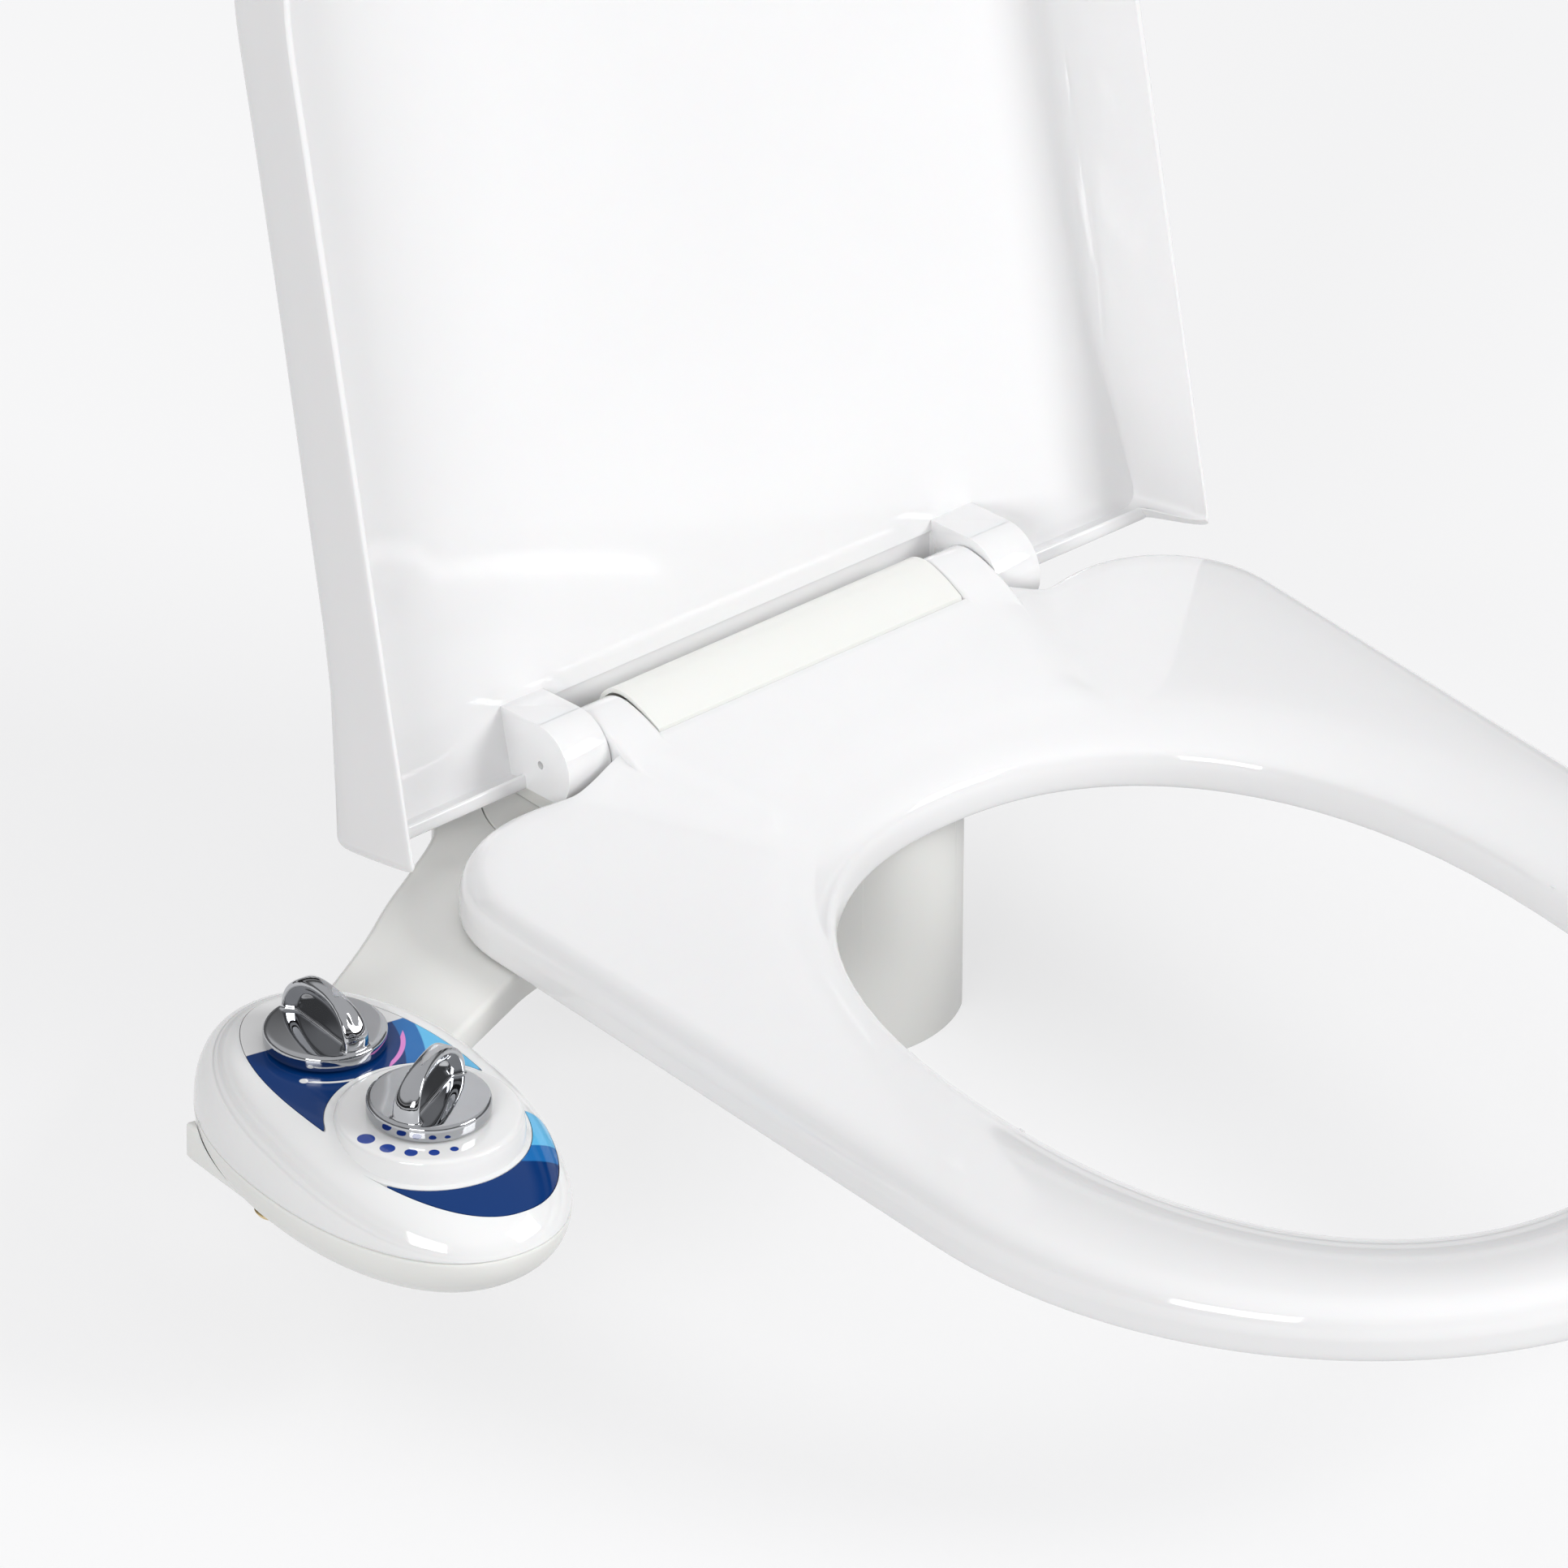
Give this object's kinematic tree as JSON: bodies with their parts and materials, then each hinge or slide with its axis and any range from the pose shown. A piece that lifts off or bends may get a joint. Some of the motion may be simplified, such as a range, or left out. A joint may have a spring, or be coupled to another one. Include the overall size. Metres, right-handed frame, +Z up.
{
  "type": "toilet seat with bidet attachment",
  "caption": "Hinged toilet seat and lid over a bidet base plate with a side control panel, turning knobs, sliding wash nozzles and a swinging nozzle guard.",
  "frame": {"origin": "midway between the two seat bolts, on the underside of the bidet base plate, which lies on the bowl's rim", "axes": "+Z up, -Y to the front of the seat, +X to the left of a seated user"},
  "size_m": [0.5074, 0.5928, 0.5984],
  "materials": {
    "seat_white": "gloss white moulded plastic",
    "cover_ivory": "satin ivory moulded plastic",
    "bidet_white": "satin warm white moulded plastic",
    "bumper_rubber": "matt pale rubber",
    "steel": "stainless steel",
    "knob_chrome": "bright chrome plating",
    "brass": "turned brass",
    "label_print": "gloss printed film, blue and white"
  },
  "bodies": {
    "base": {"hinge_base": "cover_ivory", "hinge_cover": "cover_ivory", "hinge_pin_left": "steel", "hinge_pin_right": "steel", "seat_bolt_left": "steel", "seat_bolt_right": "steel", "bolt_washer_left": "bumper_rubber", "bolt_washer_right": "bumper_rubber", "wing_nut_left": "bidet_white", "wing_nut_right": "bidet_white", "base_plate_top": "bidet_white", "base_plate_bottom": "bidet_white", "mounting_disc_left": "bidet_white", "mounting_disc_right": "bidet_white", "nozzle_housing": "bidet_white", "guard_pin": "steel", "panel_top": "seat_white", "panel_bottom": "bidet_white", "label_rear": "label_print", "label_front": "label_print", "inlet_housing": "bidet_white", "inlet_nipple": "brass", "mode_valve": "bidet_white", "pressure_valve": "bidet_white"},
    "seat": {"seat_ring": "seat_white", "seat_bumper_rear_left": "bumper_rubber", "seat_bumper_rear_right": "bumper_rubber", "seat_bumper_front_left": "bumper_rubber", "seat_bumper_front_right": "bumper_rubber"},
    "lid": {"lid": "seat_white", "lid_bumper_left": "bumper_rubber", "lid_bumper_right": "bumper_rubber"},
    "mode_control": {"mode_knob": "knob_chrome", "mode_spindle": "brass"},
    "pressure_control": {"pressure_knob": "knob_chrome", "pressure_spindle": "brass"},
    "rear_nozzle": {"rear_wash_nozzle": "bidet_white"},
    "front_nozzle": {"front_wash_nozzle": "bidet_white"},
    "guard": {"guard_gate": "bidet_white"}
  },
  "joints": [
    {"name": "lid_hinge", "type": "hinge", "parent": "base", "child": "lid", "pos_m": [0, 0, 0.038], "axis": [-1, 0, 0], "range_deg": [-103.3, 0]},
    {"name": "seat_hinge", "type": "hinge", "parent": "base", "child": "seat", "pos_m": [0, 0, 0.038], "axis": [-1, 0, 0], "range_deg": [0, 101.5]},
    {"name": "mode_knob_turn", "type": "hinge", "parent": "base", "child": "mode_control", "pos_m": [-0.2692, -0.07508, 0.03], "axis": [0, 0, 1], "range_deg": [-75, 75]},
    {"name": "pressure_knob_turn", "type": "hinge", "parent": "base", "child": "pressure_control", "pos_m": [-0.27342, -0.13543, 0.03], "axis": [0, 0, 1], "range_deg": [-35, 45]},
    {"name": "rear_nozzle_slide", "type": "slide", "parent": "base", "child": "rear_nozzle", "axis": [0, -0.4695, -0.8829], "range_m": [0, 0.024], "stiffness_N_per_m": 40, "springref_m": -0.02},
    {"name": "front_nozzle_slide", "type": "slide", "parent": "base", "child": "front_nozzle", "axis": [0, -0.4695, -0.8829], "range_m": [0, 0.024], "stiffness_N_per_m": 40, "springref_m": -0.02},
    {"name": "guard_gate_swing", "type": "hinge", "parent": "base", "child": "guard", "pos_m": [0, -0.0595, -0.007], "axis": [-1, 0, 0], "range_deg": [0, 30]}
  ]
}
